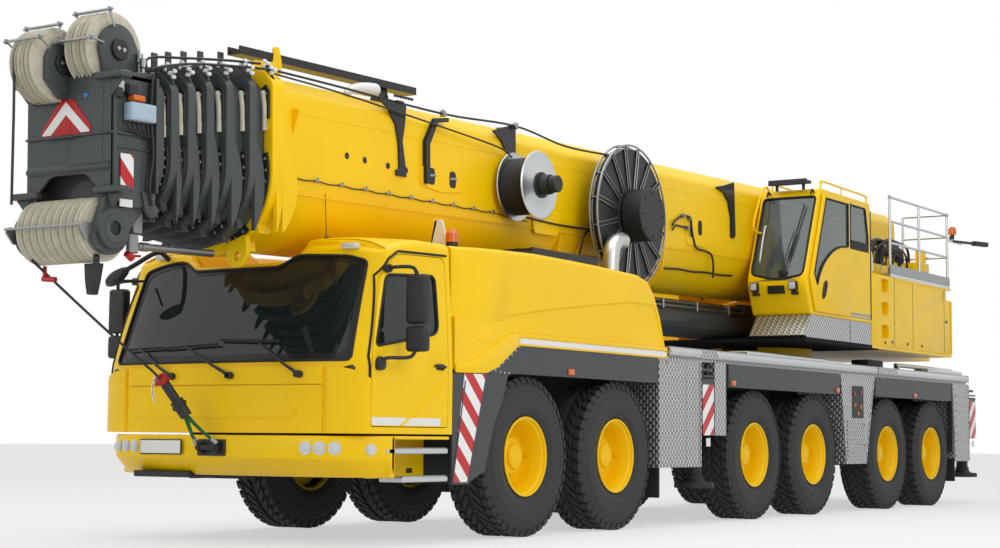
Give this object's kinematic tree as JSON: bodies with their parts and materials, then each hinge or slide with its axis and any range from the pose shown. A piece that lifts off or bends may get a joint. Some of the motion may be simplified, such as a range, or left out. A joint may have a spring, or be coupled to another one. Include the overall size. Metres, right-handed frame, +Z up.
{
  "type": "all-terrain mobile crane",
  "caption": "Road-going truck crane on rubber tyres with a driver's cab, a slewing upper body, an operator's cab and a long nested telescopic boom stowed over the cab.",
  "frame": {"origin": "centre of the footprint of the whole machine, on the road", "axes": "+Z up, +Y towards the vehicle's rear, +X to the vehicle's left; the boom head points to -Y"},
  "size_m": [3.58, 17.7418, 4.2882],
  "materials": {
    "yellow_paint": "gloss",
    "grey_paint": "satin",
    "bare_aluminium": "satin",
    "black_iron": "matte",
    "tyre_rubber": "matte",
    "chromed_rod": "gloss",
    "nylon": "matte"
  },
  "bodies": {
    "carrier": {"carrier_frame": "grey_paint", "driver_cab": "yellow_paint", "front_bumper": "yellow_paint", "engine_cover": "yellow_paint", "engine_block": "black_iron", "deck": "bare_aluminium", "fenders_left": "grey_paint", "fenders_right": "grey_paint", "axles": "black_iron"},
    "door_left": {"driver_door_left": "yellow_paint"},
    "door_right": {"driver_door_right": "yellow_paint"},
    "upper": {"upper_frame": "yellow_paint", "cab_platform": "bare_aluminium", "crane_cab": "yellow_paint", "machinery_box": "yellow_paint", "service_platform": "bare_aluminium"},
    "cab_door": {"crane_cab_door": "yellow_paint"},
    "base": {"boom_base": "yellow_paint"},
    "head": {"boom_head": "grey_paint"},
    "sheaves": {"lower_sheaves": "nylon"},
    "barrel": {"luffing_barrel": "grey_paint"},
    "rod": {"luffing_rod": "chromed_rod"},
    "cable_drum": {"cable_reel": "black_iron"},
    "hose_drum": {"hose_reel": "bare_aluminium"},
    "w_left_1": {"wheel_left_1": "tyre_rubber"},
    "k_left_1": {"knuckle_left_1": "black_iron"},
    "w_right_1": {"wheel_right_1": "tyre_rubber"},
    "k_right_1": {"knuckle_right_1": "black_iron"},
    "w_left_2": {"wheel_left_2": "tyre_rubber"},
    "k_left_2": {"knuckle_left_2": "black_iron"},
    "w_right_2": {"wheel_right_2": "tyre_rubber"},
    "k_right_2": {"knuckle_right_2": "black_iron"},
    "w_left_3": {"wheel_left_3": "tyre_rubber"},
    "k_left_3": {"knuckle_left_3": "black_iron"},
    "w_right_3": {"wheel_right_3": "tyre_rubber"},
    "k_right_3": {"knuckle_right_3": "black_iron"},
    "w_left_4": {"wheel_left_4": "tyre_rubber"},
    "w_right_4": {"wheel_right_4": "tyre_rubber"},
    "w_left_5": {"wheel_left_5": "tyre_rubber"},
    "k_left_5": {"knuckle_left_5": "black_iron"},
    "w_right_5": {"wheel_right_5": "tyre_rubber"},
    "k_right_5": {"knuckle_right_5": "black_iron"},
    "w_left_6": {"wheel_left_6": "tyre_rubber"},
    "k_left_6": {"knuckle_left_6": "black_iron"},
    "w_right_6": {"wheel_right_6": "tyre_rubber"},
    "k_right_6": {"knuckle_right_6": "black_iron"},
    "beam_front_left": {"outrigger_beam_front_left": "grey_paint"},
    "jack_front_left": {"outrigger_jack_front_left": "black_iron"},
    "beam_front_right": {"outrigger_beam_front_right": "grey_paint"},
    "jack_front_right": {"outrigger_jack_front_right": "black_iron"},
    "beam_rear_left": {"outrigger_beam_rear_left": "grey_paint"},
    "jack_rear_left": {"outrigger_jack_rear_left": "black_iron"},
    "beam_rear_right": {"outrigger_beam_rear_right": "grey_paint"},
    "jack_rear_right": {"outrigger_jack_rear_right": "black_iron"},
    "section_1": {"boom_section_1": "grey_paint"},
    "section_2": {"boom_section_2": "grey_paint"},
    "section_3": {"boom_section_3": "grey_paint"},
    "section_4": {"boom_section_4": "grey_paint"},
    "section_5": {"boom_section_5": "grey_paint"}
  },
  "joints": [
    {"name": "steer_left_1", "type": "hinge", "parent": "carrier", "child": "k_left_1", "pos_m": [1.1, -4.116, 0.735], "axis": [0, 0, 1], "range_deg": [-32, 32]},
    {"name": "spin_left_1", "type": "hinge", "parent": "k_left_1", "child": "w_left_1", "pos_m": [1.25, -4.116, 0.735], "axis": [1, 0, 0], "continuous": true},
    {"name": "steer_right_1", "type": "hinge", "parent": "carrier", "child": "k_right_1", "pos_m": [-1.1, -4.116, 0.735], "axis": [0, 0, 1], "range_deg": [-32, 32]},
    {"name": "spin_right_1", "type": "hinge", "parent": "k_right_1", "child": "w_right_1", "pos_m": [-1.25, -4.116, 0.735], "axis": [1, 0, 0], "continuous": true},
    {"name": "steer_left_2", "type": "hinge", "parent": "carrier", "child": "k_left_2", "pos_m": [1.1, -2.416, 0.735], "axis": [0, 0, 1], "range_deg": [-25.6, 25.6]},
    {"name": "spin_left_2", "type": "hinge", "parent": "k_left_2", "child": "w_left_2", "pos_m": [1.25, -2.416, 0.735], "axis": [1, 0, 0], "continuous": true},
    {"name": "steer_right_2", "type": "hinge", "parent": "carrier", "child": "k_right_2", "pos_m": [-1.1, -2.416, 0.735], "axis": [0, 0, 1], "range_deg": [-25.6, 25.6]},
    {"name": "spin_right_2", "type": "hinge", "parent": "k_right_2", "child": "w_right_2", "pos_m": [-1.25, -2.416, 0.735], "axis": [1, 0, 0], "continuous": true},
    {"name": "steer_left_3", "type": "hinge", "parent": "carrier", "child": "k_left_3", "pos_m": [1.1, 0.854, 0.735], "axis": [0, 0, 1], "range_deg": [-9.6, 9.6]},
    {"name": "spin_left_3", "type": "hinge", "parent": "k_left_3", "child": "w_left_3", "pos_m": [1.25, 0.854, 0.735], "axis": [1, 0, 0], "continuous": true},
    {"name": "steer_right_3", "type": "hinge", "parent": "carrier", "child": "k_right_3", "pos_m": [-1.1, 0.854, 0.735], "axis": [0, 0, 1], "range_deg": [-9.6, 9.6]},
    {"name": "spin_right_3", "type": "hinge", "parent": "k_right_3", "child": "w_right_3", "pos_m": [-1.25, 0.854, 0.735], "axis": [1, 0, 0], "continuous": true},
    {"name": "spin_left_4", "type": "hinge", "parent": "carrier", "child": "w_left_4", "pos_m": [1.25, 2.554, 0.735], "axis": [1, 0, 0], "continuous": true},
    {"name": "spin_right_4", "type": "hinge", "parent": "carrier", "child": "w_right_4", "pos_m": [-1.25, 2.554, 0.735], "axis": [1, 0, 0], "continuous": true},
    {"name": "steer_left_5", "type": "hinge", "parent": "carrier", "child": "k_left_5", "pos_m": [1.1, 5.054, 0.735], "axis": [0, 0, 1], "range_deg": [-12, 12]},
    {"name": "spin_left_5", "type": "hinge", "parent": "k_left_5", "child": "w_left_5", "pos_m": [1.25, 5.054, 0.735], "axis": [1, 0, 0], "continuous": true},
    {"name": "steer_right_5", "type": "hinge", "parent": "carrier", "child": "k_right_5", "pos_m": [-1.1, 5.054, 0.735], "axis": [0, 0, 1], "range_deg": [-12, 12]},
    {"name": "spin_right_5", "type": "hinge", "parent": "k_right_5", "child": "w_right_5", "pos_m": [-1.25, 5.054, 0.735], "axis": [1, 0, 0], "continuous": true},
    {"name": "steer_left_6", "type": "hinge", "parent": "carrier", "child": "k_left_6", "pos_m": [1.1, 6.754, 0.735], "axis": [0, 0, 1], "range_deg": [-20, 20]},
    {"name": "spin_left_6", "type": "hinge", "parent": "k_left_6", "child": "w_left_6", "pos_m": [1.25, 6.754, 0.735], "axis": [1, 0, 0], "continuous": true},
    {"name": "steer_right_6", "type": "hinge", "parent": "carrier", "child": "k_right_6", "pos_m": [-1.1, 6.754, 0.735], "axis": [0, 0, 1], "range_deg": [-20, 20]},
    {"name": "spin_right_6", "type": "hinge", "parent": "k_right_6", "child": "w_right_6", "pos_m": [-1.25, 6.754, 0.735], "axis": [1, 0, 0], "continuous": true},
    {"name": "driver_door_left_swing", "type": "hinge", "parent": "carrier", "child": "door_left", "pos_m": [1.464, -6.5, 1.3], "axis": [0, 0, -1], "range_deg": [0, 70]},
    {"name": "driver_door_right_swing", "type": "hinge", "parent": "carrier", "child": "door_right", "pos_m": [-1.464, -6.5, 1.3], "axis": [0, 0, 1], "range_deg": [0, 70]},
    {"name": "crane_door_slide", "type": "slide", "parent": "upper", "child": "cab_door", "axis": [0, 1, 0], "range_m": [0, 0.75]},
    {"name": "outrigger_front_left", "type": "slide", "parent": "carrier", "child": "beam_front_left", "axis": [1, 0, 0], "range_m": [0, 1.8]},
    {"name": "jack_down_front_left", "type": "slide", "parent": "beam_front_left", "child": "jack_front_left", "axis": [0, 0, -1], "range_m": [0, 0.55]},
    {"name": "outrigger_front_right", "type": "slide", "parent": "carrier", "child": "beam_front_right", "axis": [-1, 0, 0], "range_m": [0, 1.8]},
    {"name": "jack_down_front_right", "type": "slide", "parent": "beam_front_right", "child": "jack_front_right", "axis": [0, 0, -1], "range_m": [0, 0.55]},
    {"name": "outrigger_rear_left", "type": "slide", "parent": "carrier", "child": "beam_rear_left", "axis": [1, 0, 0], "range_m": [0, 1.8]},
    {"name": "jack_down_rear_left", "type": "slide", "parent": "beam_rear_left", "child": "jack_rear_left", "axis": [0, 0, -1], "range_m": [0, 0.55]},
    {"name": "outrigger_rear_right", "type": "slide", "parent": "carrier", "child": "beam_rear_right", "axis": [-1, 0, 0], "range_m": [0, 1.8]},
    {"name": "jack_down_rear_right", "type": "slide", "parent": "beam_rear_right", "child": "jack_rear_right", "axis": [0, 0, -1], "range_m": [0, 0.55]},
    {"name": "slew", "type": "hinge", "parent": "carrier", "child": "upper", "pos_m": [0, 4.184, 1.93], "axis": [0, 0, 1], "continuous": true},
    {"name": "luff", "type": "hinge", "parent": "upper", "child": "base", "pos_m": [0, 7.084, 3.35], "axis": [-1, 0, 0], "range_deg": [0, 80]},
    {"name": "telescope_1", "type": "slide", "parent": "base", "child": "section_1", "axis": [0, -0.9997, -0.0244], "range_m": [0, 10.7]},
    {"name": "telescope_2", "type": "slide", "parent": "section_1", "child": "section_2", "axis": [0, -0.9997, -0.0244], "range_m": [0, 10.7]},
    {"name": "telescope_3", "type": "slide", "parent": "section_2", "child": "section_3", "axis": [0, -0.9997, -0.0244], "range_m": [0, 10.7]},
    {"name": "telescope_4", "type": "slide", "parent": "section_3", "child": "section_4", "axis": [0, -0.9997, -0.0244], "range_m": [0, 10.7]},
    {"name": "telescope_5", "type": "slide", "parent": "section_4", "child": "section_5", "axis": [0, -0.9997, -0.0244], "range_m": [0, 10.7]},
    {"name": "telescope_6", "type": "slide", "parent": "section_5", "child": "head", "axis": [0, -0.9997, -0.0244], "range_m": [0, 10.7]},
    {"name": "sheaves_spin", "type": "hinge", "parent": "head", "child": "sheaves", "pos_m": [0, -8.45904, 2.46599], "axis": [1, 0, 0], "continuous": true},
    {"name": "cylinder_swing", "type": "hinge", "parent": "upper", "child": "barrel", "pos_m": [0, 3.884, 2.42], "axis": [-1, 0, 0], "range_deg": [0, 95.88]},
    {"name": "cylinder_stroke", "type": "slide", "parent": "barrel", "child": "rod", "axis": [0, -0.9999, -0.012], "range_m": [0, 3.871]},
    {"name": "cable_reel_spin", "type": "hinge", "parent": "base", "child": "cable_drum", "pos_m": [0, -1.146, 3.31], "axis": [1, 0, 0], "continuous": true},
    {"name": "hose_reel_spin", "type": "hinge", "parent": "base", "child": "hose_drum", "pos_m": [0, -3.126, 3.405], "axis": [1, 0, 0], "continuous": true}
  ],
  "couplings": [
    {"joint": "steer_right_1", "follows": "steer_left_1", "ratio": 1},
    {"joint": "steer_left_2", "follows": "steer_left_1", "ratio": 0.8},
    {"joint": "steer_right_2", "follows": "steer_left_1", "ratio": 0.8},
    {"joint": "steer_left_3", "follows": "steer_left_1", "ratio": 0.3},
    {"joint": "steer_right_3", "follows": "steer_left_1", "ratio": 0.3},
    {"joint": "steer_left_5", "follows": "steer_left_6", "ratio": 0.6},
    {"joint": "steer_right_5", "follows": "steer_left_6", "ratio": 0.6},
    {"joint": "steer_right_6", "follows": "steer_left_6", "ratio": 1},
    {"joint": "telescope_2", "follows": "telescope_1", "ratio": 1},
    {"joint": "telescope_3", "follows": "telescope_1", "ratio": 1},
    {"joint": "telescope_4", "follows": "telescope_1", "ratio": 1},
    {"joint": "telescope_5", "follows": "telescope_1", "ratio": 1},
    {"joint": "telescope_6", "follows": "telescope_1", "ratio": 1},
    {"joint": "cylinder_swing", "follows": "luff", "ratio": 1.1984},
    {"joint": "cylinder_stroke", "follows": "luff", "m_per_rad": 2.7713}
  ]
}
